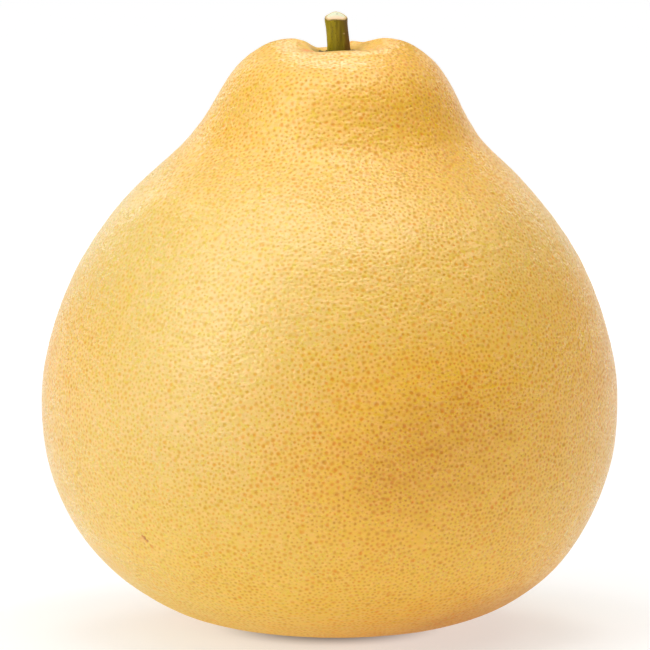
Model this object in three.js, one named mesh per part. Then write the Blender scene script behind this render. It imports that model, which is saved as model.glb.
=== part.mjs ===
// A whole pomelo standing on its blossom end: a broad pear-shaped fruit, the small calyx in its stem
// hollow and the short cut stem. Millimetres, +Z up. The origin is the middle of the bottom of its
// bounding box, on the surface it rests on. -Y is its front, -X its fuller side.
import * as THREE from "three";
import { mergeVertices } from "three/addons/utils/BufferGeometryUtils.js";

// ---- driving dimensions ----
const AXIS_X = 1.96; // the line through the resting spot and the stem stands this far off the middle
const FLAT_RADIUS = 13; // the fruit's flat resting spot
const FRUIT_SEGMENTS = 72; // round the fruit
const RINGS_PER_KNOT = 1.25; // along each profile

// Eight meridian profiles, 45 degrees apart round the stem axis and starting at +X, as [radius from
// that axis, height]: from the edge of the flat resting spot, out over the equator, up the neck to the
// shoulders and down into the stem hollow.
const PROFILES = [
  [ // 0 degrees, right
    [13, 0], [18, 0.25], [24.5, 1.17], [34.7, 3.18], [45, 6.5], [55.26, 12.82], [63.52, 20.67],
    [69.87, 30.22], [74.49, 40.74], [77.27, 51.9], [77.96, 63.4], [77.29, 73.64], [75.18, 83.69],
    [71.99, 93.45], [67.71, 102.77], [62.41, 111.56], [56.27, 119.77], [49.28, 127.27],
    [41.79, 134.32], [38.43, 138.63], [35.73, 143.36], [33.39, 148.27], [30.79, 152.97],
    [27.61, 157.24], [23.67, 160.63], [19.07, 163.22], [13.97, 164.1], [11, 163.31], [8.9, 161.91],
    [7.4, 160.92], [6.4, 159.71], [5.5, 158.6], [4.1, 158], [2.4, 157.8],
  ],
  [ // 45 degrees, back right
    [13, 0], [18, 0.25], [24.4, 1.16], [34.56, 3.17], [44.82, 6.46], [55.21, 12.45],
    [63.44, 20.42], [69.83, 29.99], [74.47, 40.54], [77.23, 51.76], [77.95, 63.29], [77.27, 73.57],
    [75.17, 83.65], [71.98, 93.44], [67.7, 102.79], [62.41, 111.6], [56.15, 119.73],
    [48.81, 126.87], [41.14, 133.74], [37.62, 138.06], [34.97, 142.82], [32.81, 147.71],
    [30.27, 152.33], [26.99, 156.48], [22.99, 159.98], [18.18, 162.58], [12.93, 163.25],
    [10.29, 162.85], [8.56, 162.09], [7.23, 161.2], [6.31, 160.01], [5.41, 158.73], [4.06, 158.01],
    [2.4, 157.8],
  ],
  [ // 90 degrees, back
    [13, 0], [18, 0.25], [24.3, 1.15], [34.42, 3.14], [44.64, 6.35], [55.39, 12.01],
    [63.73, 20.01], [70.34, 29.53], [75.12, 40.11], [77.94, 51.41], [78.75, 63.03], [78.04, 73.39],
    [75.93, 83.55], [72.7, 93.4], [68.36, 102.8], [63.01, 111.65], [56.47, 119.62],
    [49.08, 126.74], [41.39, 133.63], [37.91, 137.95], [35.23, 142.67], [33, 147.5],
    [30.39, 152.12], [26.71, 156.07], [22.19, 158.92], [17.11, 161.19], [11.68, 161.9],
    [9.4, 161.44], [8.1, 161.42], [7, 160.81], [6.2, 160.01], [5.3, 158.75], [4, 158],
    [2.4, 157.8],
  ],
  [ // 135 degrees, back left
    [13, 0], [18, 0.24], [24.4, 1.14], [34.56, 3.11], [44.82, 6.25], [55.97, 12.21],
    [64.69, 19.87], [71.69, 29.21], [76.78, 39.73], [79.78, 51.07], [80.7, 62.77], [79.95, 73.2],
    [77.81, 83.43], [74.45, 93.32], [69.96, 102.75], [64.45, 111.61], [58.35, 120.09],
    [50.74, 127.24], [42.75, 133.98], [38.89, 138.06], [35.68, 142.62], [32.92, 147.38],
    [30.14, 152.06], [26.76, 156.29], [22.6, 159.52], [17.64, 161.42], [12.22, 161.85],
    [9.8, 161.67], [8.21, 161.69], [7.02, 160.96], [6.24, 160.02], [5.34, 158.74], [3.99, 158],
    [2.4, 157.8],
  ],
  [ // 180 degrees, left
    [13, 0], [18, 0.24], [24.5, 1.13], [34.7, 3.09], [45, 6.21], [56.33, 12.48], [65.29, 19.89],
    [72.5, 29.11], [77.77, 39.59], [80.87, 50.93], [81.85, 62.66], [81.08, 73.12], [78.91, 83.38],
    [75.47, 93.28], [70.9, 102.72], [65.29, 111.57], [58.81, 119.79], [51.42, 127.22],
    [43.61, 134.24], [39.75, 138.39], [36.3, 142.88], [33.34, 147.7], [30.5, 152.56],
    [27.22, 157.09], [23.13, 160.57], [18.3, 163.19], [12.96, 164.18], [10.3, 163.81],
    [8.4, 163.15], [7.1, 161.6], [6.3, 160.12], [5.4, 158.73], [4, 158.01], [2.4, 157.8],
  ],
  [ // 225 degrees, front left
    [13, 0], [18, 0.24], [24.4, 1.14], [34.56, 3.11], [44.82, 6.25], [55.97, 12.21],
    [64.69, 19.87], [71.69, 29.21], [76.78, 39.73], [79.78, 51.07], [80.7, 62.77], [79.95, 73.2],
    [77.81, 83.43], [74.45, 93.32], [69.96, 102.75], [64.45, 111.61], [58.61, 120.32],
    [50.66, 127.16], [42.38, 133.59], [38.41, 137.66], [35.4, 142.42], [32.85, 147.33],
    [30.2, 152.11], [26.82, 156.38], [22.67, 159.09], [17.67, 161.1], [12.22, 161.27],
    [9.66, 160.97], [8.14, 160.74], [7.02, 159.96], [6.24, 159.28], [5.34, 158.47], [3.99, 157.97],
    [2.4, 157.8],
  ],
  [ // 270 degrees, front
    [13, 0], [18, 0.25], [24.3, 1.15], [34.42, 3.14], [44.64, 6.35], [55.39, 12.01],
    [63.73, 20.01], [70.34, 29.53], [75.12, 40.11], [77.94, 51.41], [78.75, 63.03], [78.04, 73.39],
    [75.93, 83.55], [72.7, 93.4], [68.36, 102.8], [63.01, 111.65], [56.23, 119.42],
    [48.62, 126.28], [40.81, 133.04], [37.39, 137.53], [35.04, 142.55], [33.22, 147.65],
    [30.85, 152.48], [26.96, 156.49], [22.27, 158.41], [17.14, 160.57], [11.68, 161.15],
    [9.2, 160.93], [8, 160.63], [7, 159.86], [6.2, 159.03], [5.3, 158.38], [4, 157.96],
    [2.4, 157.8],
  ],
  [ // 315 degrees, front right
    [13, 0], [18, 0.25], [24.4, 1.16], [34.56, 3.17], [44.82, 6.46], [55.21, 12.45],
    [63.44, 20.42], [69.83, 29.99], [74.47, 40.54], [77.23, 51.76], [77.95, 63.29], [77.27, 73.57],
    [75.17, 83.65], [71.98, 93.44], [67.7, 102.79], [62.41, 111.6], [56.01, 119.61],
    [48.32, 126.38], [40.44, 133.07], [36.82, 137.48], [34.38, 142.47], [32.59, 147.58],
    [30.26, 152.3], [27, 156.39], [23.05, 159.19], [18.2, 161.49], [12.93, 161.54],
    [10.15, 160.65], [8.49, 160.03], [7.23, 159.6], [6.31, 159.03], [5.41, 158.39], [4.06, 157.96],
    [2.4, 157.8],
  ],
];

const CALYX_LOBES = 5;
const CALYX_SEGMENTS = 60;
const CALYX_BOTTOM = 158.35; // 0.3 to 0.5 above the floor of the hollow
const CALYX_DISC_TOP = 159.0;
const CALYX_TIP = 160.95;

const STEM_BASE = 159.3; // 0.3 above the calyx disc
const STEM_CUT = 170.6; // middle of the cut end
const STEM_SEGMENTS = 32;
// [height, middle x, radius]
const STEM_SECTIONS = [
  [159.3, 2.66, 3.28], [160.4, 2.62, 3.2], [162.0, 2.52, 3.1], [164.5, 2.3, 3.03],
  [166.8, 2.06, 3.0], [168.2, 1.88, 3.05], [169.0, 1.8, 3.12],
];
const CUT_SLOPE = 0.33; // the cut leans towards the front
const CUT_RIDGE = 0.6; // and falls away to both sides of a low rounded ridge
const CUT_EDGE = 0.22; // and its edge is rounded over

// ---- helpers ----
// Second derivatives of a cubic spline through values at 0, 1, 2 ..., with the given end slopes.
function splineCurvature(values, startSlope, endSlope) {
  const n = values.length;
  const a = new Array(n).fill(1), b = new Array(n).fill(4), c = new Array(n).fill(1), d = new Array(n).fill(0);
  for (let i = 1; i < n - 1; i++) d[i] = 6 * (values[i - 1] - 2 * values[i] + values[i + 1]);
  b[0] = 2; c[0] = 1; d[0] = 6 * (values[1] - values[0] - startSlope);
  if (endSlope === null) { a[n - 1] = 0; b[n - 1] = 1; d[n - 1] = 0; }
  else { a[n - 1] = 1; b[n - 1] = 2; d[n - 1] = 6 * (endSlope - (values[n - 1] - values[n - 2])); }
  for (let i = 1; i < n; i++) {
    const w = a[i] / b[i - 1];
    b[i] -= w * c[i - 1];
    d[i] -= w * d[i - 1];
  }
  const m = new Array(n);
  m[n - 1] = d[n - 1] / b[n - 1];
  for (let i = n - 2; i >= 0; i--) m[i] = (d[i] - c[i] * m[i + 1]) / b[i];
  return m;
}

function splineAt(values, curvature, t) {
  const i = Math.min(Math.max(Math.floor(t), 0), values.length - 2);
  const f = t - i, g = 1 - f;
  return values[i] * g + values[i + 1] * f + ((g ** 3 - g) * curvature[i] + (f ** 3 - f) * curvature[i + 1]) / 6;
}

// A profile as two splines, radius and height. It leaves the flat spot level and ends level.
function profile(points) {
  const r = points.map((p) => p[0]), z = points.map((p) => p[1]);
  const mr = splineCurvature(r, r[1] - r[0], null), mz = splineCurvature(z, 0, 0);
  return (t) => [splineAt(r, mr, t), splineAt(z, mz, t)];
}

// Closed surface from rings of equal count, with a point at each end. Rings run from the bottom up
// (or outwards then inwards), each counted anticlockwise seen from above.
function closedSurface(first, rings, last) {
  const positions = [...first], index = [];
  const n = rings[0].length / 3;
  for (const ring of rings) positions.push(...ring);
  positions.push(...last);
  const top = positions.length / 3 - 1;
  for (let j = 0; j < n; j++) index.push(0, 1 + ((j + 1) % n), 1 + j);
  for (let k = 0; k < rings.length - 1; k++)
    for (let j = 0; j < n; j++) {
      const a = 1 + k * n + j, b = 1 + k * n + ((j + 1) % n), c = a + n, d = b + n;
      index.push(a, b, d, a, d, c);
    }
  const start = 1 + (rings.length - 1) * n;
  for (let j = 0; j < n; j++) index.push(start + j, start + ((j + 1) % n), top);
  const geometry = new THREE.BufferGeometry();
  geometry.setAttribute("position", new THREE.Float32BufferAttribute(positions, 3));
  geometry.setIndex(index);
  const merged = mergeVertices(geometry, 1e-4);
  merged.computeVertexNormals();
  return merged;
}

// ---- fruit ----
function fruitGeometry() {
  const profiles = PROFILES.map(profile), end = PROFILES[0].length - 1;
  // Share of each profile at an angle: trigonometric interpolation through the eight of them.
  const shares = (angle) => profiles.map((_, k) => {
    const d = angle - (k * Math.PI) / 4;
    return (1 + 2 * Math.cos(d) + 2 * Math.cos(2 * d) + 2 * Math.cos(3 * d) + Math.cos(4 * d)) / 8;
  });
  const rings = [];
  const count = Math.round(end * RINGS_PER_KNOT);
  for (let k = 0; k <= count; k++) {
    const points = profiles.map((at) => at((k * end) / count));
    const ring = [];
    for (let j = 0; j < FRUIT_SEGMENTS; j++) {
      const angle = (j / FRUIT_SEGMENTS) * 2 * Math.PI, share = shares(angle);
      const r = points.reduce((sum, p, i) => sum + share[i] * p[0], 0);
      const z = points.reduce((sum, p, i) => sum + share[i] * p[1], 0);
      // the first ring is the edge of the flat spot
      if (k === 0) ring.push(AXIS_X + FLAT_RADIUS * Math.cos(angle), FLAT_RADIUS * Math.sin(angle), 0);
      else ring.push(AXIS_X + r * Math.cos(angle), r * Math.sin(angle), z);
    }
    rings.push(ring);
  }
  return closedSurface([AXIS_X, 0, 0], rings, [AXIS_X, 0, PROFILES[0][end][1]]);
}

// ---- calyx: a thin disc whose rim stands up as five blunt sepals ----
function calyxGeometry() {
  const rings = [];
  const section = (lobe) => [
    [2.2, CALYX_BOTTOM], [4.0, CALYX_BOTTOM + 0.05], [4.7 + 0.25 * lobe, 159.3],
    [4.9 + 0.55 * lobe, CALYX_TIP - 0.75 + 0.75 * lobe],
    [4.45 + 0.5 * lobe, CALYX_TIP - 0.8 + 0.75 * lobe],
    [4.0, 159.45], [3.75, CALYX_DISC_TOP], [2.0, CALYX_DISC_TOP],
  ];
  for (let k = 0; k < 8; k++) {
    const ring = [];
    for (let j = 0; j < CALYX_SEGMENTS; j++) {
      const angle = (j / CALYX_SEGMENTS) * 2 * Math.PI;
      const lobe = Math.abs(Math.cos((CALYX_LOBES * (angle - Math.PI)) / 2)) ** 0.8;
      const [r, z] = section(lobe)[k];
      ring.push(AXIS_X + 0.45 + r * Math.cos(angle), r * Math.sin(angle), z);
    }
    rings.push(ring);
  }
  return closedSurface([AXIS_X + 0.45, 0, CALYX_BOTTOM], rings, [AXIS_X + 0.45, 0, CALYX_DISC_TOP]);
}

// ---- stem: a short stalk, a little waisted, leaning slightly, with a slanting ridged cut ----
function stemGeometry() {
  const rings = [];
  const ribs = (angle) => 1 + 0.012 * Math.cos(7 * angle + 0.6) + 0.01 * Math.cos(4 * angle);
  const [, cutX, cutR] = STEM_SECTIONS[STEM_SECTIONS.length - 1];
  const cut = (x, y) => STEM_CUT + CUT_SLOPE * y - CUT_RIDGE * (1 - Math.exp(-((x / 1.9) ** 2)));
  const circle = (x0, radius, height) => {
    const ring = [];
    for (let j = 0; j < STEM_SEGMENTS; j++) {
      const angle = (j / STEM_SEGMENTS) * 2 * Math.PI;
      const x = radius * ribs(angle) * Math.cos(angle), y = radius * ribs(angle) * Math.sin(angle);
      ring.push(x0 + x, y, typeof height === "number" ? height : height(x, y));
    }
    return ring;
  };
  for (const [z, x, r] of STEM_SECTIONS) rings.push(circle(x, r, z));
  rings.push(circle(cutX, cutR, (x, y) => cut(x, y) - CUT_EDGE));
  for (const share of [0.92, 0.7, 0.45, 0.2]) rings.push(circle(cutX, cutR * share, cut));
  return closedSurface([STEM_SECTIONS[0][1], 0, STEM_BASE], rings, [cutX, 0, STEM_CUT]);
}

function mesh(name, geometry, color, roughness) {
  const made = new THREE.Mesh(geometry, new THREE.MeshStandardMaterial({ color, roughness, metalness: 0 }));
  made.name = name;
  return made;
}

const pomelo = new THREE.Group();
pomelo.name = "pomelo";
pomelo.add(mesh("fruit", fruitGeometry(), 0xeec768, 0.48));
pomelo.add(mesh("calyx", calyxGeometry(), 0x8d8654, 0.8));
pomelo.add(mesh("stem", stemGeometry(), 0x7f7521, 0.6));

export default pomelo;
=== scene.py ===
# A whole pomelo, looks only: the oil-gland rind, the calyx in the stem hollow and the cut stem, standing
# on a white studio floor. Metres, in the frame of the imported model.
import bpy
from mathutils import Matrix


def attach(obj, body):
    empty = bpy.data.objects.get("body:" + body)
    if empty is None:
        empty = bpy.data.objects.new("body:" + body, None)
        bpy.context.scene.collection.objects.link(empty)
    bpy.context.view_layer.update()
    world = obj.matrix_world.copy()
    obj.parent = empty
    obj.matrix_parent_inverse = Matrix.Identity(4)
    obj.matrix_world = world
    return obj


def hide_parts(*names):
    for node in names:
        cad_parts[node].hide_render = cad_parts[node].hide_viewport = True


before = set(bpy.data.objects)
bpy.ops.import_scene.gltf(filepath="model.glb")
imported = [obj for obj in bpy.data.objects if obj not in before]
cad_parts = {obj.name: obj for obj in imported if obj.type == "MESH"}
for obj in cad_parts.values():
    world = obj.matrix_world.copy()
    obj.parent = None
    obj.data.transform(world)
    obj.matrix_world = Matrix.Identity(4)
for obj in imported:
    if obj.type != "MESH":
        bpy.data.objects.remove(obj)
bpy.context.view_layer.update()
import math

import bpy
import numpy as np
from mathutils import Vector, noise
from mathutils.kdtree import KDTree

MM = 0.001

# ---------------------------------------------------------------- shape of the fruit, millimetres
AXIS_X = 1.96
FLAT = 13.0
# The part's eight profiles, 45 degrees apart from +X: (radius from the stem axis, height).
PROFILES = np.array([
    [(13, 0), (18, 0.25), (24.5, 1.17), (34.7, 3.18), (45, 6.5), (55.26, 12.82), (63.52, 20.67),
     (69.87, 30.22), (74.49, 40.74), (77.27, 51.9), (77.96, 63.4), (77.29, 73.64), (75.18, 83.69),
     (71.99, 93.45), (67.71, 102.77), (62.41, 111.56), (56.27, 119.77), (49.28, 127.27), (41.79, 134.32),
     (38.43, 138.63), (35.73, 143.36), (33.39, 148.27), (30.79, 152.97), (27.61, 157.24), (23.67, 160.63),
     (19.07, 163.22), (13.97, 164.1), (11, 163.31), (8.9, 161.91), (7.4, 160.92), (6.4, 159.71),
     (5.5, 158.6), (4.1, 158), (2.4, 157.8)],
    [(13, 0), (18, 0.25), (24.4, 1.16), (34.56, 3.17), (44.82, 6.46), (55.21, 12.45), (63.44, 20.42),
     (69.83, 29.99), (74.47, 40.54), (77.23, 51.76), (77.95, 63.29), (77.27, 73.57), (75.17, 83.65),
     (71.98, 93.44), (67.7, 102.79), (62.41, 111.6), (56.15, 119.73), (48.81, 126.87), (41.14, 133.74),
     (37.62, 138.06), (34.97, 142.82), (32.81, 147.71), (30.27, 152.33), (26.99, 156.48), (22.99, 159.98),
     (18.18, 162.58), (12.93, 163.25), (10.29, 162.85), (8.56, 162.09), (7.23, 161.2), (6.31, 160.01),
     (5.41, 158.73), (4.06, 158.01), (2.4, 157.8)],
    [(13, 0), (18, 0.25), (24.3, 1.15), (34.42, 3.14), (44.64, 6.35), (55.39, 12.01), (63.73, 20.01),
     (70.34, 29.53), (75.12, 40.11), (77.94, 51.41), (78.75, 63.03), (78.04, 73.39), (75.93, 83.55),
     (72.7, 93.4), (68.36, 102.8), (63.01, 111.65), (56.47, 119.62), (49.08, 126.74), (41.39, 133.63),
     (37.91, 137.95), (35.23, 142.67), (33, 147.5), (30.39, 152.12), (26.71, 156.07), (22.19, 158.92),
     (17.11, 161.19), (11.68, 161.9), (9.4, 161.44), (8.1, 161.42), (7, 160.81), (6.2, 160.01),
     (5.3, 158.75), (4, 158), (2.4, 157.8)],
    [(13, 0), (18, 0.24), (24.4, 1.14), (34.56, 3.11), (44.82, 6.25), (55.97, 12.21), (64.69, 19.87),
     (71.69, 29.21), (76.78, 39.73), (79.78, 51.07), (80.7, 62.77), (79.95, 73.2), (77.81, 83.43),
     (74.45, 93.32), (69.96, 102.75), (64.45, 111.61), (58.35, 120.09), (50.74, 127.24), (42.75, 133.98),
     (38.89, 138.06), (35.68, 142.62), (32.92, 147.38), (30.14, 152.06), (26.76, 156.29), (22.6, 159.52),
     (17.64, 161.42), (12.22, 161.85), (9.8, 161.67), (8.21, 161.69), (7.02, 160.96), (6.24, 160.02),
     (5.34, 158.74), (3.99, 158), (2.4, 157.8)],
    [(13, 0), (18, 0.24), (24.5, 1.13), (34.7, 3.09), (45, 6.21), (56.33, 12.48), (65.29, 19.89),
     (72.5, 29.11), (77.77, 39.59), (80.87, 50.93), (81.85, 62.66), (81.08, 73.12), (78.91, 83.38),
     (75.47, 93.28), (70.9, 102.72), (65.29, 111.57), (58.81, 119.79), (51.42, 127.22), (43.61, 134.24),
     (39.75, 138.39), (36.3, 142.88), (33.34, 147.7), (30.5, 152.56), (27.22, 157.09), (23.13, 160.57),
     (18.3, 163.19), (12.96, 164.18), (10.3, 163.81), (8.4, 163.15), (7.1, 161.6), (6.3, 160.12),
     (5.4, 158.73), (4, 158.01), (2.4, 157.8)],
    [(13, 0), (18, 0.24), (24.4, 1.14), (34.56, 3.11), (44.82, 6.25), (55.97, 12.21), (64.69, 19.87),
     (71.69, 29.21), (76.78, 39.73), (79.78, 51.07), (80.7, 62.77), (79.95, 73.2), (77.81, 83.43),
     (74.45, 93.32), (69.96, 102.75), (64.45, 111.61), (58.61, 120.32), (50.66, 127.16), (42.38, 133.59),
     (38.41, 137.66), (35.4, 142.42), (32.85, 147.33), (30.2, 152.11), (26.82, 156.38), (22.67, 159.09),
     (17.67, 161.1), (12.22, 161.27), (9.66, 160.97), (8.14, 160.74), (7.02, 159.96), (6.24, 159.28),
     (5.34, 158.47), (3.99, 157.97), (2.4, 157.8)],
    [(13, 0), (18, 0.25), (24.3, 1.15), (34.42, 3.14), (44.64, 6.35), (55.39, 12.01), (63.73, 20.01),
     (70.34, 29.53), (75.12, 40.11), (77.94, 51.41), (78.75, 63.03), (78.04, 73.39), (75.93, 83.55),
     (72.7, 93.4), (68.36, 102.8), (63.01, 111.65), (56.23, 119.42), (48.62, 126.28), (40.81, 133.04),
     (37.39, 137.53), (35.04, 142.55), (33.22, 147.65), (30.85, 152.48), (26.96, 156.49), (22.27, 158.41),
     (17.14, 160.57), (11.68, 161.15), (9.2, 160.93), (8, 160.63), (7, 159.86), (6.2, 159.03), (5.3, 158.38),
     (4, 157.96), (2.4, 157.8)],
    [(13, 0), (18, 0.25), (24.4, 1.16), (34.56, 3.17), (44.82, 6.46), (55.21, 12.45), (63.44, 20.42),
     (69.83, 29.99), (74.47, 40.54), (77.23, 51.76), (77.95, 63.29), (77.27, 73.57), (75.17, 83.65),
     (71.98, 93.44), (67.7, 102.79), (62.41, 111.6), (56.01, 119.61), (48.32, 126.38), (40.44, 133.07),
     (36.82, 137.48), (34.38, 142.47), (32.59, 147.58), (30.26, 152.3), (27, 156.39), (23.05, 159.19),
     (18.2, 161.49), (12.93, 161.54), (10.15, 160.65), (8.49, 160.03), (7.23, 159.6), (6.31, 159.03),
     (5.41, 158.39), (4.06, 157.96), (2.4, 157.8)],
])
END = PROFILES.shape[1] - 1


def spline(v, start, end):
    """Cubic spline through values at 0, 1, 2 ... with the given end slopes; None is a free end."""
    n = len(v)
    a, d = np.zeros((n, n)), np.zeros(n)
    for i in range(1, n - 1):
        a[i, i - 1 : i + 2] = 1, 4, 1
        d[i] = 6 * (v[i - 1] - 2 * v[i] + v[i + 1])
    a[0, :2] = 2, 1
    d[0] = 6 * (v[1] - v[0] - start)
    if end is None:
        a[-1, -1] = 1
    else:
        a[-1, -2:] = 1, 2
        d[-1] = 6 * (end - (v[-1] - v[-2]))
    m = np.linalg.solve(a, d)

    def at(t):
        i = np.clip(np.floor(t).astype(int), 0, n - 2)
        f = t - i
        g = 1 - f
        return v[i] * g + v[i + 1] * f + ((g**3 - g) * m[i] + (f**3 - f) * m[i + 1]) / 6

    return at


SPLINES = [(spline(p[:, 0], p[1, 0] - p[0, 0], None), spline(p[:, 1], 0.0, 0.0)) for p in PROFILES]
MEAN = PROFILES.mean(0)
LENGTHS = np.r_[0, np.cumsum(np.hypot(*np.diff(MEAN, axis=0).T))]  # along the mean profile
HOLLOW_R = 2.4
TOTAL = FLAT + LENGTHS[-1] + HOLLOW_R
FLOOR_Z = float(PROFILES[0, -1, 1])


def skin(s, a):
    """Skin points in mm at distance s along the profile from the middle of the underside, and angle a."""
    t = np.interp(s - FLAT, LENGTHS, np.arange(END + 1))
    r, z = np.zeros(s.shape), np.zeros(s.shape)
    for k, (fr, fz) in enumerate(SPLINES):
        d = a - k * math.pi / 4
        w = (1 + 2 * np.cos(d) + 2 * np.cos(2 * d) + 2 * np.cos(3 * d) + np.cos(4 * d)) / 8
        r += w * fr(t)
        z += w * fz(t)
    under, inner = s < FLAT, s > FLAT + LENGTHS[-1]
    r = np.where(under, s, np.where(inner, TOTAL - s, r))
    z = np.where(under, 0.0, np.where(inner, FLOOR_Z, z))
    return np.stack([AXIS_X + r * np.cos(a), r * np.sin(a), z], -1)


def skin_frame(s, a):
    """Position, unit tangents along s and round the axis, unit outward normal, and the ring radius."""
    p = skin(s, a)
    ds = skin(s + 0.25, a) - skin(s - 0.25, a)
    r = np.maximum(np.hypot(p[..., 0] - AXIS_X, p[..., 1]), 0.05)
    da = (skin(s, a + 0.4 / r) - skin(s, a - 0.4 / r)) / 0.8
    ts = ds / np.maximum(np.linalg.norm(ds, axis=-1, keepdims=True), 1e-6)
    n = np.cross(da, ds)
    n /= np.maximum(np.linalg.norm(n, axis=-1, keepdims=True), 1e-9)
    return p, ts, da, n, r


def fbm(points, scale, octaves=1, stretch=(1, 1, 1), offset=0.0):
    """Smooth noise of about -1 to 1 at points in mm, with features of that many mm."""
    q = points * (np.array(stretch) / scale)
    out = np.zeros(len(q))
    amp = 1.0
    for o in range(octaves):
        f = 2.03**o
        out += amp * np.array([noise.noise(Vector((x * f + offset, y * f - offset, z * f + 3.1 * o))) for x, y, z in q.tolist()])
        amp *= 0.5
    return out


def bump_at(s, a, s0, a0, ws, wa):
    """A smooth hump of height 1 at (s0, a0 degrees), that wide along the profile and round the axis in mm."""
    r = np.hypot(skin(np.array([s0]), np.array([math.radians(a0)]))[0, 0] - AXIS_X, skin(np.array([s0]), np.array([math.radians(a0)]))[0, 1])
    d = (a - math.radians(a0) + math.pi) % (2 * math.pi) - math.pi
    return np.exp(-(((s - s0) / ws) ** 2) - ((d * r / wa) ** 2))


def relief(p, s, a):
    """How far the skin stands off the smooth surface, in mm."""
    slow = 0.20 * fbm(p, 26.0, 2)
    # short ripples, drawn out round the fruit; strongest on the upper body and neck
    band = 0.35 + 0.65 * np.exp(-(((p[:, 2] - 112) / 48) ** 2))
    ripple = 0.085 * band * fbm(p, 3.4, 2, (1, 1, 1.7), 7.0) + 0.05 * band * fbm(p, 8.0, 1, (1, 1, 1.8), 11.0)
    h = slow + ripple
    lump = 0.75 * bump_at(s, a, TOTAL - 13.6, 68, 1.7, 1.9) + 0.35 * bump_at(s, a, TOTAL - 12.0, 118, 1.5, 2.4)
    # calm at the resting spot and down in the hollow
    calm = np.clip((s - FLAT - 1.5) / 12, 0, 1) ** 2 * (0.25 + 0.75 * np.clip((TOTAL - 9 - s) / 10, 0, 1))
    return h * calm + lump


# How golden the rind is: 0 pale straw, 1 deep golden orange. This is partly the rind's own colour and partly painted
# light and shade: paler where the lamps fall on the upper left, deeper in the shaded lower right and on the neck under
# the shoulders. Patches as (x, y, z, tone) on the front half, in mm; elsewhere it drifts slowly.
TONE_AND_SHADE_PATCHES = np.array([
    (-73, -26, 82, 0.93), (-70, -38, 55, 0.29), (-59, -29, 108, -0.12), (-56, -24, 122, -0.05), (-47, -63, 72, 0.19),
    (-45, -52, 27, 0.30), (-34, -66, 90, 0.0), (-31, -72, 52, 0.34), (-24, -20, 148, 0.23),
    (-18, -53, 121, 0.10), (-18, -68, 98, 0.0), (-14, -77, 73, 0.45), (-10, -70, 30, 0.39),
    (0, -30, 151, 0.10), (3, -63, 111, 0.35), (4, -74, 89, 0.47), (5, -78, 55, 1.50), (8, -46, 131, 0.15),
    (16, -60, 18, 0.85), (19, -28, 148, 0.62), (24, -67, 98, 0.42), (26, -74, 73, 1.30), (29, -74, 62, 1.60),
    (32, -52, 115, 0.64), (32, -12, 150, 1.07), (24, -36, 140, 1.30), (31, -26, 144, 1.50), (5, -41, 141, 1.00), (-27, -24, 140, 0.75), (29, -21, 145, 1.70), (-24, -22, 145, 1.10), (9, -33, 145, 1.00), (-10, -36, 140, 0.45), (40, -31, 127, 0.30), (37, -66, 40, 0.66), (48, -54, 97, 0.52),
    (50, -61, 63, 1.10), (57, -22, 116, 0.35), (62, -41, 36, 0.65), (70, -29, 86, 1.30), (70, -38, 60, 0.87),
    (-16, -54, 13, 0.75), (46, -35, 14, 1.20),
])


def tone_and_shade_at(p):
    weight = np.exp(-((p[:, None, :] - TONE_AND_SHADE_PATCHES[None, :, :3]) ** 2).sum(-1) / 24.0**2)
    # the drift deepens towards the bottom: painted shade near the floor
    drift = np.clip(0.42 + 0.42 * fbm(p, 38.0, 2, (1, 1, 1.3), 5.0) + 0.5 * np.exp(-((p[:, 2] / 16) ** 2)), 0, 1.1)
    rest = 0.05
    return np.clip((weight @ TONE_AND_SHADE_PATCHES[:, 3] + rest * drift) / (weight.sum(1) + rest), -0.3, 1.3)


# ---------------------------------------------------------------- helpers for meshes and materials
def linear(r, g, b):
    """sRGB 0-255 as linear RGBA."""
    return tuple(c / 12.92 if c <= 0.04045 else ((c + 0.055) / 1.055) ** 2.4 for c in (r / 255, g / 255, b / 255)) + (1.0,)


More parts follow.
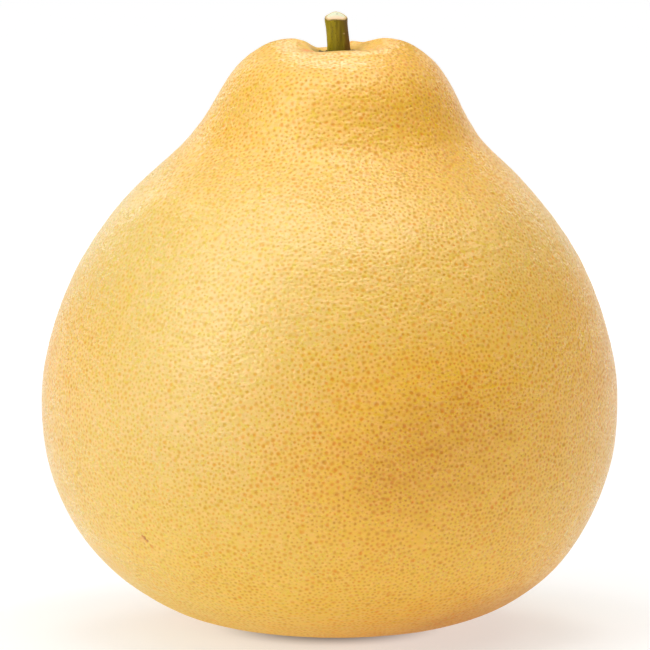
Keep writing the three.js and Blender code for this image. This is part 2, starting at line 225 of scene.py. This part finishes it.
class Nodes:
    """Short ways of wiring a material."""

    def __init__(self, name):
        self.material = bpy.data.materials.new(name)
        self.material.use_nodes = True
        self.tree = self.material.node_tree
        self.tree.nodes.clear()
        self.out = self.tree.nodes.new("ShaderNodeOutputMaterial")
        self.shader = self.tree.nodes.new("ShaderNodeBsdfPrincipled")
        self.tree.links.new(self.shader.outputs["BSDF"], self.out.inputs["Surface"])
        self.position = self.tree.nodes.new("ShaderNodeTexCoord").outputs["Object"]

    def put(self, socket, value):
        if isinstance(value, bpy.types.NodeSocket):
            self.tree.links.new(value, socket)
        elif value is not None:
            socket.default_value = value

    def set(self, **sockets):
        for name, value in sockets.items():
            self.put(self.shader.inputs[name.replace("_", " ")], value)

    def math(self, op, a, b=None, c=None, clamp=False):
        n = self.tree.nodes.new("ShaderNodeMath")
        n.operation, n.use_clamp = op, clamp
        for socket, value in zip(n.inputs, (a, b, c)):
            self.put(socket, value)
        return n.outputs[0]

    def vector(self, op, a, b=None, scale=None):
        n = self.tree.nodes.new("ShaderNodeVectorMath")
        n.operation = op
        self.put(n.inputs[0], a)
        if b is not None:
            self.put(n.inputs[1], b)
        if scale is not None:
            self.put(n.inputs["Scale"], scale)
        return n.outputs["Value"] if op in ("LENGTH", "DISTANCE", "DOT_PRODUCT") else n.outputs["Vector"]

    def mix(self, share, a, b, blend="MIX"):
        n = self.tree.nodes.new("ShaderNodeMix")
        n.data_type, n.blend_type = "RGBA", blend
        self.put(n.inputs["Factor"], share)
        self.put(n.inputs["A"] if False else n.inputs[6], a)
        self.put(n.inputs[7], b)
        return n.outputs[2]

    def span(self, value, lo, hi, to_lo=0.0, to_hi=1.0, smooth=True):
        n = self.tree.nodes.new("ShaderNodeMapRange")
        n.interpolation_type = "SMOOTHSTEP" if smooth else "LINEAR"
        n.clamp = True
        for socket, v in zip(n.inputs, (value, lo, hi, to_lo, to_hi)):
            self.put(socket, v)
        return n.outputs[0]

    def noise(self, size, detail=2.0, rough=0.5, stretch=None, offset=(0, 0, 0), distortion=0.0):
        """0 to 1 noise with features of that many mm."""
        n = self.tree.nodes.new("ShaderNodeTexNoise")
        m = self.tree.nodes.new("ShaderNodeMapping")
        m.inputs["Location"].default_value = offset
        if stretch:
            m.inputs["Scale"].default_value = stretch
        self.tree.links.new(self.position, m.inputs["Vector"])
        self.tree.links.new(m.outputs[0], n.inputs["Vector"])
        n.inputs["Scale"].default_value = 1000.0 / size
        n.inputs["Detail"].default_value = detail
        n.inputs["Roughness"].default_value = rough
        n.inputs["Distortion"].default_value = distortion
        return n.outputs[0]

    def ramp(self, value, stops):
        """Colour along a row of (position, colour) stops."""
        n = self.tree.nodes.new("ShaderNodeValToRGB")
        while len(n.color_ramp.elements) < len(stops):
            n.color_ramp.elements.new(0.5)
        for element, (at, colour) in zip(n.color_ramp.elements, stops):
            element.position, element.color = at, (*colour, 1)
        self.put(n.inputs[0], value)
        return n.outputs[0]

    def attribute(self, name, output="Vector"):
        n = self.tree.nodes.new("ShaderNodeAttribute")
        n.attribute_type, n.attribute_name = "GEOMETRY", name
        return n.outputs[output]

    def split(self, vector):
        n = self.tree.nodes.new("ShaderNodeSeparateXYZ")
        self.put(n.inputs[0], vector)
        return n.outputs[0], n.outputs[1], n.outputs[2]

    def relief(self, height_mm, strength=1.0):
        n = self.tree.nodes.new("ShaderNodeBump")
        n.inputs["Strength"].default_value = strength
        n.inputs["Distance"].default_value = MM
        self.put(n.inputs["Height"], height_mm)
        self.tree.links.new(n.outputs[0], self.shader.inputs["Normal"])


def make_object(name, vertices_mm, faces, materials, node, face_material=None):
    mesh = bpy.data.meshes.new(name)
    mesh.from_pydata((np.asarray(vertices_mm) * MM).tolist(), [], faces)
    for m in materials:
        mesh.materials.append(m)
    mesh.polygons.foreach_set("use_smooth", [True] * len(faces))
    if face_material is not None:
        mesh.polygons.foreach_set("material_index", face_material)
    mesh.update()
    obj = bpy.data.objects.new(name, mesh)
    bpy.context.scene.collection.objects.link(obj)
    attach(obj, "root")
    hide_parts(node)
    return obj


def rings_to_faces(rings, columns, first, last):
    """Faces of a closed surface: a point, rings of that many points each, a point."""
    faces = [(0, 1 + (j + 1) % columns, 1 + j) for j in range(columns)] if first else []
    base = 1 if first else 0
    for k in range(rings - 1):
        a, b = base + k * columns, base + (k + 1) * columns
        faces += [(a + j, a + (j + 1) % columns, b + (j + 1) % columns, b + j) for j in range(columns)]
    if last:
        a = base + (rings - 1) * columns
        top = a + columns
        faces += [(a + j, a + (j + 1) % columns, top) for j in range(columns)]
    return faces


# ---------------------------------------------------------------- oil glands
def gland_points(rng):
    """Gland centres as (s, angle), spread evenly but without any pattern, and their radii in mm."""
    grid = np.linspace(0.3, TOTAL - 3.0, 3000)
    ring = np.mean([np.hypot(skin(grid, np.full(grid.shape, q))[:, 0] - AXIS_X, skin(grid, np.full(grid.shape, q))[:, 1]) for q in (0, 1.57, 3.14, 4.71)], axis=0)
    weight = np.cumsum(ring)
    count = int(GLANDS_PER_MM2 * 2 * math.pi * weight[-1] * (grid[1] - grid[0]))
    s = np.interp(rng.random(count) * weight[-1], weight, grid)
    a = rng.random(count) * 2 * math.pi
    radius = np.clip(GLAND_RADIUS * np.exp(0.26 * rng.standard_normal(count)), 0.62 * GLAND_RADIUS, 1.60 * GLAND_RADIUS)
    room = (0.70 + 0.60 * radius / GLAND_RADIUS) * 0.5 * 1.26  # each gland's own half-distance, mm
    for step in range(9):
        p, ts, da, n, r = skin_frame(s, a)
        tree = KDTree(count)
        for i, q in enumerate(p.tolist()):
            tree.insert(q, i)
        tree.balance()
        near = np.zeros((count, 7), int)
        for i, q in enumerate(p.tolist()):
            near[i] = [x[1] for x in tree.find_n(q, 7)]
        push = np.zeros((count, 3))
        for k in range(1, 7):
            other = near[:, k]
            away = p - p[other]
            gap = np.maximum(np.linalg.norm(away, axis=1), 1e-3)
            want = room + room[other]
            push += away / gap[:, None] * np.clip(want - gap, 0, None)[:, None] * 0.42
        s = np.clip(s + (push * ts).sum(1), 0.3, TOTAL - 3.0)
        a = (a + (push * da).sum(1) / r) % (2 * math.pi)
    return s, a, radius


def fruit_mesh():
    rng = np.random.default_rng(20261)
    flat_part = np.linspace(1.3, FLAT, 9)
    body = np.arange(FLAT + 1.24, FLAT + LENGTHS[-1] - 14, 1.235)
    hollow = np.linspace(body[-1] + 0.8, FLAT + LENGTHS[-1], 22)
    rows = np.concatenate([flat_part, body, hollow, [TOTAL - 1.2]])
    columns = 420
    angle = (np.arange(columns) / columns) * 2 * math.pi
    s, a = np.repeat(rows, columns), np.tile(angle, len(rows))
    p, ts, da, n, r = skin_frame(s, a)
    p = p + n * relief(p, s, a)[:, None]
    p[:, 2] = np.maximum(p[:, 2], 0.0)
    vertices = np.vstack([[AXIS_X, 0, 0], p, [AXIS_X, 0, FLOOR_Z]])
    faces = rings_to_faces(len(rows), columns, True, True)
    fruit = make_object("pomelo_rind", vertices, faces, [rind_material()], "fruit")
    mesh = fruit.data
    mesh.attributes.new("tone_and_shade", "FLOAT", "POINT").data.foreach_set("value", tone_and_shade_at(np.asarray(vertices)).astype(np.float32))

    depth = np.r_[0, np.clip((s - (TOTAL - 17)) / 10, 0, 1), 1]
    mesh.attributes.new("hollow", "FLOAT", "POINT").data.foreach_set("value", depth.astype(np.float32))

    # one map for the whole skin, with its seam up the back
    u0 = (angle / (2 * math.pi) - 0.25) % 1.0
    ends = (angle / (2 * math.pi) - 0.25) % 1.0 + 1.0 / columns
    v = np.r_[0, rows / TOTAL, 1]
    uv = []
    for j in range(columns):
        uv += [((u0[j] + ends[j]) / 2, v[0]), (ends[j], v[1]), (u0[j], v[1])]
    for k in range(len(rows) - 1):
        for j in range(columns):
            uv += [(u0[j], v[k + 1]), (ends[j], v[k + 1]), (ends[j], v[k + 2]), (u0[j], v[k + 2])]
    for j in range(columns):
        uv += [(u0[j], v[-2]), (ends[j], v[-2]), ((u0[j] + ends[j]) / 2, v[-1])]
    layer = mesh.uv_layers.new(name="OFBake")
    layer.data.foreach_set("uv", np.array(uv).ravel())

    # every face keeps its nearest glands: where each is, and its radius, tint and strength
    gs, ga, radius = gland_points(rng)
    gp, _, _, gn, _ = skin_frame(gs, ga)
    gp = gp + gn * relief(gp, gs, ga)[:, None]
    tint = np.clip(0.15 + rng.random(len(gs)) * 0.85 + 0.3 * (radius / GLAND_RADIUS - 1), 0, 1)
    strength = np.clip(0.66 + 0.34 * rng.random(len(gs)), 0, 1)
    tree = KDTree(len(gp))
    for i, q in enumerate(gp.tolist()):
        tree.insert(q, i)
    tree.balance()
    centres = np.zeros(len(mesh.polygons) * 3)
    mesh.polygons.foreach_get("center", centres)
    centres = centres.reshape(-1, 3) / MM
    near = np.array([[x[1] for x in tree.find_n(q, GLANDS_PER_FACE)] for q in centres.tolist()])
    for k in range(GLANDS_PER_FACE):
        where = mesh.attributes.new("gland_at_%d" % k, "FLOAT_VECTOR", "FACE")
        where.data.foreach_set("vector", (gp[near[:, k]] * MM).astype(np.float32).ravel())
        what = mesh.attributes.new("gland_is_%d" % k, "FLOAT_VECTOR", "FACE")
        what.data.foreach_set("vector", np.stack([radius[near[:, k]] * MM, tint[near[:, k]], strength[near[:, k]]], 1).astype(np.float32).ravel())
    return fruit


GLANDS_PER_FACE = 6
GLANDS_PER_MM2 = 0.51
GLAND_RADIUS = 0.39


# Marks on the rind, and one patch of painted shade: middle in mm, reach in mm, linear colour, strength.
MARKS = [
    ((-49.60, -53.20, 34.00), 0.75, (0.50, 0.170, 0.020), 0.80), ((-49.05, -53.50, 33.35), 0.80, (0.40, 0.115, 0.010), 0.90),
    ((-48.45, -53.75, 32.70), 0.75, (0.48, 0.160, 0.015), 0.85), ((-50.30, -52.70, 32.90), 2.00, (0.88, 0.400, 0.120), 0.35),
    ((-47.20, -53.70, 31.20), 0.85, (0.76, 0.290, 0.020), 0.75),
    ((8.70, -54.50, 122.00), 2.10, (0.84, 0.270, 0.060), 0.60), ((10.60, -54.20, 121.60), 1.30, (0.84, 0.280, 0.060), 0.55),
    ((14.60, -39.00, 135.50), 1.10, (0.82, 0.240, 0.020), 0.65), ((12.40, -40.20, 134.60), 0.90, (0.82, 0.260, 0.020), 0.60),
    # painted shade: the deep orange patch at the front left of the stem hollow, in the fold there
    ((-5.20, -9.20, 161.10), 3.60, (0.88, 0.300, 0.045), 0.90), ((7.40, 10.60, 161.60), 1.60, (0.80, 0.600, 0.090), 0.60),
    ((36.00, 52.00, 96.00), 1.60, (0.66, 0.270, 0.030), 0.60), ((-30.00, 66.00, 60.00), 1.00, (0.48, 0.180, 0.020), 0.70),
    ((63.00, 30.00, 104.00), 1.20, (0.75, 0.270, 0.030), 0.55),
]


def rind_material():
    m = Nodes("rind")
    tone_and_shade = m.attribute("tone_and_shade", "Fac")
    hollow = m.attribute("hollow", "Fac")
    x, y, z = m.split(m.position)
    foot = m.span(z, 0.024, 0.001)
    mid = m.noise(7.0, 3, 0.55, (1, 1, 1.5))
    fine = m.noise(1.5, 2, 0.6)
    tone_and_shade = m.math("ADD", tone_and_shade, m.span(mid, 0.3, 0.7, -0.08, 0.08))
    # painted shade: the tone deepens at the foot, most on the right
    tone_and_shade = m.math("ADD", tone_and_shade, m.math("MULTIPLY", foot, m.span(x, -0.03, 0.05, -0.12, 0.50)))
    tone_and_shade = m.span(tone_and_shade, -0.3, 1.3, smooth=False)
    ground = m.ramp(tone_and_shade, [(0.0, (0.85, 0.640, 0.255)), (0.19, (0.81, 0.588, 0.205)), (0.81, (0.88, 0.492, 0.056)), (1.0, (0.745, 0.365, 0.016))])
    olive = m.ramp(tone_and_shade, [(0.0, (0.66, 0.440, 0.020)), (0.19, (0.62, 0.390, 0.004)), (0.81, (0.60, 0.262, 0.000)), (1.0, (0.53, 0.202, 0.000))])
    orange = m.ramp(tone_and_shade, [(0.0, (0.80, 0.430, 0.030)), (0.19, (0.77, 0.380, 0.008)), (0.81, (0.77, 0.262, 0.000)), (1.0, (0.68, 0.205, 0.000))])
    # faint pinkish and greenish mottling between the glands, strongest round the neck and top
    mottle = m.span(z, 0.09, 0.14, 0.65, 0.85)
    colour = m.mix(m.math("MULTIPLY", m.span(fine, 0.50, 0.70), mottle), ground, m.ramp(tone_and_shade, [(0.1, (0.91, 0.600, 0.270)), (0.85, (0.92, 0.480, 0.105))]))
    colour = m.mix(m.math("MULTIPLY", m.span(fine, 0.50, 0.32), mottle), colour, m.ramp(tone_and_shade, [(0.1, (0.75, 0.585, 0.085)), (0.85, (0.82, 0.475, 0.012))]))
    # the wall of the stem hollow: golden at the edge, dull olive at the bottom
    colour = m.mix(m.math("MULTIPLY", hollow, 0.6), colour, (0.93, 0.580, 0.120, 1))
    colour = m.mix(m.math("MULTIPLY", m.span(hollow, 0.86, 1.0), 0.6), colour, (0.46, 0.360, 0.100, 1))
    # painted shade at the foot: less blue towards the floor, and deeper on the right
    colour = m.mix(m.math("MULTIPLY", m.span(z, 0.070, 0.004), 0.75), colour, (1.0, 0.985, 0.30, 1), "MULTIPLY")
    colour = m.mix(m.math("MULTIPLY", m.span(z, 0.024, 0.003), m.span(x, -0.030, 0.040)), colour, (0.84, 0.74, 0.25, 1), "MULTIPLY")
    # the glands fade down in the hollow and where the tone is pale; in the pale zones this paints them washed out under
    # the highlights
    keep = m.math("MULTIPLY", m.span(hollow, 0.1, 0.9, 1.0, 0.35), m.span(tone_and_shade, 0.15, 0.60, 0.62, 1.0))
    wobble = m.noise(0.75, 1, 0.5, None, (0.2, 0.4, 0.1))
    dent, pitted = None, None
    for k in range(GLANDS_PER_FACE):
        gap = m.vector("DISTANCE", m.position, m.attribute("gland_at_%d" % k))
        radius, tint, strength = m.split(m.attribute("gland_is_%d" % k))
        strength = m.math("MULTIPLY", strength, keep)
        share = m.math("ADD", m.math("DIVIDE", gap, radius), m.span(wobble, 0.25, 0.75, -0.28, 0.28))
        spot = m.math("MULTIPLY", m.span(share, 1.55, 0.2), strength)
        colour = m.mix(spot, colour, m.mix(tint, olive, orange))
        pit = m.math("MULTIPLY", m.span(share, 1.6, 0.1), m.math("MULTIPLY", radius, m.math("MULTIPLY", strength, 1000 * 0.23)))
        dent = pit if dent is None else m.math("ADD", dent, pit)
        pitted = spot if pitted is None else m.math("MAXIMUM", pitted, spot)
    for at, reach, mark, amount in MARKS:
        gap = m.vector("DISTANCE", m.position, tuple(c * MM for c in at))
        gap = m.math("ADD", gap, m.span(wobble, 0.2, 0.8, -0.25 * reach * MM, 0.25 * reach * MM))
        colour = m.mix(m.span(gap, reach * MM, 0.35 * reach * MM, 0.0, amount), colour, (*mark, 1))
    swell = m.math("ADD", m.math("MULTIPLY", m.noise(3.2, 2, 0.55, (1, 1, 1.8)), 0.5), m.math("MULTIPLY", fine, 0.11))
    m.relief(m.math("SUBTRACT", swell, dent))
    rough = m.span(mid, 0.3, 0.7, 0.25, 0.31)
    rough = m.math("ADD", rough, m.math("MULTIPLY", pitted, 0.16))
    rough = m.math("ADD", rough, m.math("MULTIPLY", m.span(z, 0.150, 0.162), 0.06))
    rough = m.math("ADD", rough, m.math("ADD", m.math("MULTIPLY", hollow, 0.22), m.math("MULTIPLY", foot, 0.30)))
    m.set(Base_Color=colour, Roughness=rough, IOR=1.45, Specular_IOR_Level=0.78, Specular_Tint=(1.0, 0.95, 0.83, 1))
    m.set(Subsurface_Weight=0.15, Subsurface_Radius=(1.0, 0.45, 0.14), Subsurface_Scale=0.0022)
    return m.material


# ---------------------------------------------------------------- stem
STEM = np.array([  # height, middle x, radius, mm
    (158.7, 2.75, 3.45), (159.3, 2.70, 3.36), (160.4, 2.62, 3.20), (162.0, 2.52, 3.10), (164.5, 2.30, 3.03),
    (166.8, 2.06, 3.00), (168.2, 1.88, 3.05), (169.0, 1.80, 3.12),
])
CUT_Z = 170.6


def stem_mesh():
    columns = 120
    angle = np.arange(columns) / columns * 2 * math.pi
    ribs = 1 + 0.014 * np.cos(7 * angle + 0.6) + 0.012 * np.cos(4 * angle) + 0.006 * np.cos(17 * angle + 1.1) + 0.004 * np.cos(29 * angle)
    heights = np.linspace(STEM[0, 0], STEM[-1, 0], 40)
    x0 = np.interp(heights, STEM[:, 0], STEM[:, 1])
    rad = np.interp(heights, STEM[:, 0], STEM[:, 2])
    rings = []
    for z, x, r in zip(heights, x0, rad):
        drift = 0.05 * math.sin(z * 0.7)
        q = r * np.interp((angle + drift) % (2 * math.pi), np.r_[angle, 2 * math.pi], np.r_[ribs, ribs[0]])
        rings.append(np.stack([x + q * np.cos(angle), q * np.sin(angle), np.full(columns, z)], -1))
    cx, cr = STEM[-1, 1], STEM[-1, 2]

    def cut(x, y):
        return CUT_Z + 0.33 * y - 0.6 * (1 - np.exp(-((x / 1.9) ** 2))) + 0.03 * np.sin(2.1 * x + 0.7 * y) * np.sin(1.7 * y)

    n_bark = len(rings)
    for share, drop in ((1.0, 0.26), (0.985, 0.13), (0.955, 0.045), (0.92, 0.0), (0.85, 0.0), (0.7, 0), (0.55, 0), (0.4, 0), (0.25, 0), (0.12, 0)):
        q = cr * share * (1 + (ribs - 1) * share)
        x, y = q * np.cos(angle), q * np.sin(angle)
        rings.append(np.stack([cx + x, y, cut(x, y) - drop], -1))
    vertices = np.vstack([[STEM[0, 1], 0, STEM[0, 0]]] + rings + [[cx, 0, CUT_Z]])
    faces = rings_to_faces(len(rings), columns, True, True)
    kind = [0 if k < columns * (n_bark + 1) else 1 for k in range(len(faces))]
    return make_object("pomelo_stem", vertices, faces, [bark_material(), cut_material()], "stem", kind)


def bark_material():
    m = Nodes("stem_bark")
    x, y, z = m.split(m.position)
    # painted shade: the bark darkens from the left side towards the right, away from the lamps
    painted_shade_side = m.span(x, -0.0008, 0.0050)
    colour = m.mix(painted_shade_side, (0.345, 0.280, 0.004, 1), (0.150, 0.092, 0.001, 1))
    streak = m.noise(0.8, 3, 0.6, (1, 1, 0.10))
    broad = m.noise(1.8, 2, 0.5, (1, 1, 0.18), (0.1, 0.2, 0.0))
    colour = m.mix(m.span(broad, 0.45, 0.65, 0.0, 0.5), colour, (0.190, 0.165, 0.002, 1))
    colour = m.mix(m.span(streak, 0.48, 0.7, 0.0, 0.6), colour, (0.085, 0.062, 0.002, 1))
    colour = m.mix(m.span(streak, 0.46, 0.28, 0.0, 0.4), colour, (0.390, 0.340, 0.030, 1))
    # painted shade: reddish brown on the right side, away from the lamps; darker at the foot and just under the cut
    colour = m.mix(m.math("MULTIPLY", m.span(x, 0.0034, 0.0052), 0.6), colour, (0.150, 0.055, 0.004, 1))
    colour = m.mix(m.math("MULTIPLY", m.span(z, 0.1622, 0.1596), 0.5), colour, (0.075, 0.055, 0.004, 1))
    specks = m.noise(0.42, 1, 0.5, None, (0.3, 0.1, 0.2))
    colour = m.mix(m.span(specks, 0.64, 0.73, 0.0, 0.7), colour, (0.050, 0.030, 0.004, 1))
    scar = m.vector("DISTANCE", m.vector("MULTIPLY", m.position, (1, 1, 1.9)), (0.00395, -0.0023, 0.1656 * 1.9))
    colour = m.mix(m.span(scar, 0.0006, 0.00025, 0.0, 0.7), colour, (0.420, 0.300, 0.110, 1))
    m.relief(m.math("ADD", m.math("ADD", m.math("MULTIPLY", streak, 0.26), m.math("MULTIPLY", broad, 0.20)), m.math("MULTIPLY", specks, 0.07)))
    m.set(Base_Color=colour, Roughness=m.span(broad, 0.4, 0.6, 0.46, 0.60), IOR=1.45, Specular_IOR_Level=0.22)
    return m.material


def cut_material():
    m = Nodes("stem_cut")
    x, y, z = m.split(m.position)
    rim = m.vector("DISTANCE", m.vector("MULTIPLY", m.position, (1, 1, 0)), (STEM[-1, 1] * MM, 0, 0))
    rings = m.math("SINE", m.math("MULTIPLY", rim, 9000.0))
    grain = m.noise(0.7, 2)
    colour = m.mix(m.span(y, 0.0006, -0.0016), (0.72, 0.74, 0.52, 1), (0.88, 0.62, 0.40, 1))
    colour = m.mix(m.math("MULTIPLY", m.span(rings, 0.2, 0.9), 0.16), colour, (0.62, 0.58, 0.30, 1))
    colour = m.mix(m.span(grain, 0.55, 0.75, 0.0, 0.4), colour, (0.78, 0.66, 0.30, 1))
    colour = m.mix(m.span(rim, 0.0022, 0.0029), colour, (0.58, 0.38, 0.13, 1))
    colour = m.mix(m.span(rim, 0.00295, 0.00312), colour, (0.16, 0.09, 0.02, 1))
    pith = m.vector("DISTANCE", m.vector("MULTIPLY", m.position, (1, 1, 0)), (0.0021, 0.0009, 0))
    colour = m.mix(m.span(pith, 0.00042, 0.00018, 0.0, 0.75), colour, (0.22, 0.17, 0.09, 1))
    m.relief(m.math("ADD", m.math("MULTIPLY", grain, 0.12), m.math("MULTIPLY", rings, 0.02)))
    m.set(Base_Color=colour, Roughness=0.7, IOR=1.45)
    return m.material


# ---------------------------------------------------------------- calyx
def calyx_mesh():
    columns = 150
    angle = np.arange(columns) / columns * 2 * math.pi
    lobe = np.abs(np.cos(5 * (angle - math.pi) / 2)) ** 0.8
    wob = 1 + 0.05 * np.cos(3 * angle + 1) + 0.03 * np.cos(11 * angle)
    z0, tip = 158.0, 160.95
    section = [(2.2 + 0 * lobe, z0 + 0 * lobe), (4.0 + 0 * lobe, z0 + 0.05 + 0 * lobe), (4.6 + 0.25 * lobe, 158.9 + 0 * lobe),
               (4.8 + 0.4 * lobe, 159.6 + 0.1 * lobe), (4.95 + 0.55 * lobe, tip - 0.75 + 0.7 * lobe), (4.8 + 0.55 * lobe, tip - 0.66 + 0.72 * lobe),
               (4.5 + 0.5 * lobe, tip - 0.8 + 0.7 * lobe), (4.25 + 0.2 * lobe, 159.7 + 0.1 * lobe), (4.0 + 0 * lobe, 159.3 + 0 * lobe), (3.7 + 0 * lobe, 159.05 + 0 * lobe), (2.0 + 0 * lobe, 159.0 + 0 * lobe)]
    rings = [np.stack([AXIS_X + 0.45 + r * wob * np.cos(angle), r * wob * np.sin(angle), z], -1) for r, z in section]
    vertices = np.vstack([[AXIS_X + 0.45, 0, z0]] + rings + [[AXIS_X + 0.45, 0, 159.0]])
    faces = rings_to_faces(len(rings), columns, True, True)
    return make_object("pomelo_calyx", vertices, faces, [calyx_material()], "calyx")


def calyx_material():
    m = Nodes("calyx_dry")
    a = m.noise(1.3, 3, 0.6)
    b = m.noise(0.5, 2, 0.6, None, (0.5, 0.2, 0.1))
    colour = m.mix(m.span(a, 0.35, 0.65), (0.055, 0.028, 0.006, 1), (0.230, 0.190, 0.060, 1))
    colour = m.mix(m.span(b, 0.6, 0.72, 0, 0.8), colour, (0.62, 0.50, 0.26, 1))
    m.relief(m.math("MULTIPLY", b, 0.2))
    m.set(Base_Color=colour, Roughness=0.75, IOR=1.45)
    return m.material


fruit_mesh()
stem_mesh()
calyx_mesh()

# ---------------------------------------------------------------- studio
scene = bpy.context.scene
scene.view_settings.view_transform = "Standard"
scene.view_settings.look = "None"
scene.view_settings.exposure = 0.0
scene.view_settings.gamma = 1.0

floor_mesh = bpy.data.meshes.new("studio_floor")
floor_mesh.from_pydata([(-30, -30, 0), (30, -30, 0), (30, 30, 0), (-30, 30, 0)], [], [(0, 1, 2, 3)])
floor = bpy.data.objects.new("studio_floor", floor_mesh)
scene.collection.objects.link(floor)
paper = Nodes("studio_paper")
far = paper.vector("LENGTH", paper.position)
# the floor glows to stay evenly white; the dip in its glow close round the fruit is a painted contact shadow
glow_and_painted_shadow = paper.math("ADD", paper.span(far, 0.35, 1.4, 0.55, 0.95), paper.span(far, 0.034, 0.014, 0.0, -0.45))
paper.set(Base_Color=(0.50, 0.50, 0.50, 1), Roughness=1.0, Specular_IOR_Level=0.0, Emission_Color=(1, 1, 1, 1), Emission_Strength=glow_and_painted_shadow)
floor_mesh.materials.append(paper.material)

world = bpy.data.worlds.new("studio")
scene.world = world
world.use_nodes = True
w = world.node_tree
w.nodes.clear()
w_out = w.nodes.new("ShaderNodeOutputWorld")
w_bg = w.nodes.new("ShaderNodeBackground")
w_ramp = w.nodes.new("ShaderNodeMapRange")
w_geo = w.nodes.new("ShaderNodeTexCoord")
w_sep = w.nodes.new("ShaderNodeSeparateXYZ")
w_ramp.interpolation_type = "SMOOTHSTEP"
w.links.new(w_geo.outputs["Generated"], w_sep.inputs[0])
w.links.new(w_sep.outputs[2], w_ramp.inputs[0])
for i, value in enumerate((0.12, 0.25, 1.0, 0.07)):
    w_ramp.inputs[1 + i].default_value = value
w.links.new(w_ramp.outputs[0], w_bg.inputs["Strength"])
w_bg.inputs["Color"].default_value = (1, 1, 1, 1)
w.links.new(w_bg.outputs[0], w_out.inputs[0])

# round softboxes on a dome about the fruit: degrees round from the front (right is plus), degrees up, watts
SOFTBOXES = [
    (-72, 8, 0.33), (-48, 8, 0.91), (-72, 30, 1.02), (-48, 30, 3.06), (120, 30, 0.43), (-120, 52, 1.09), (-60, 52, 1.78), (-30, 52, 0.70), (0, 52, 0.40), (30, 52, 0.80), (60, 52, 0.55), (90, 52, 0.87), (120, 52, 0.85), (-120, 74, 0.87), (-60, 74, 1.98), (0, 74, 2.17), (60, 74, 1.91), (120, 74, 1.55), (180, 46, 2.50), (150, 24, 0.9), (-150, 24, 0.9),
]
for number, (round_, up, watts) in enumerate(SOFTBOXES):
    az, el = math.radians(round_), math.radians(up)
    place = Vector((1.3 * math.cos(el) * math.sin(az), -1.3 * math.cos(el) * math.cos(az), 0.085 + 1.3 * math.sin(el)))
    data = bpy.data.lights.new("softbox_%d" % number, "AREA")
    data.shape, data.size, data.energy = "DISK", 0.5, watts
    light = bpy.data.objects.new("softbox_%d" % number, data)
    light.location = place
    light.rotation_euler = (Vector((0, 0, 0.085)) - place).to_track_quat("-Z", "Y").to_euler()
    scene.collection.objects.link(light)

# ---------------------------------------------------------------- camera: 6 degrees above the horizon
ELEVATION, DISTANCE, AIM_Z = math.radians(6.0), 1.1, 0.085
camera_data = bpy.data.cameras.new("camera")
camera = bpy.data.objects.new("camera", camera_data)
scene.collection.objects.link(camera)
camera.location = (0, -DISTANCE * math.cos(ELEVATION), AIM_Z + DISTANCE * math.sin(ELEVATION))
camera.rotation_euler = (math.radians(90) - ELEVATION, 0, 0)
camera_data.sensor_width = 36.0
camera_data.lens = 219.32
camera_data.shift_x = -0.0068
camera_data.shift_y = -0.0014
camera_data.clip_start, camera_data.clip_end = 0.05, 100
camera_data.dof.use_dof = False
scene.camera = camera
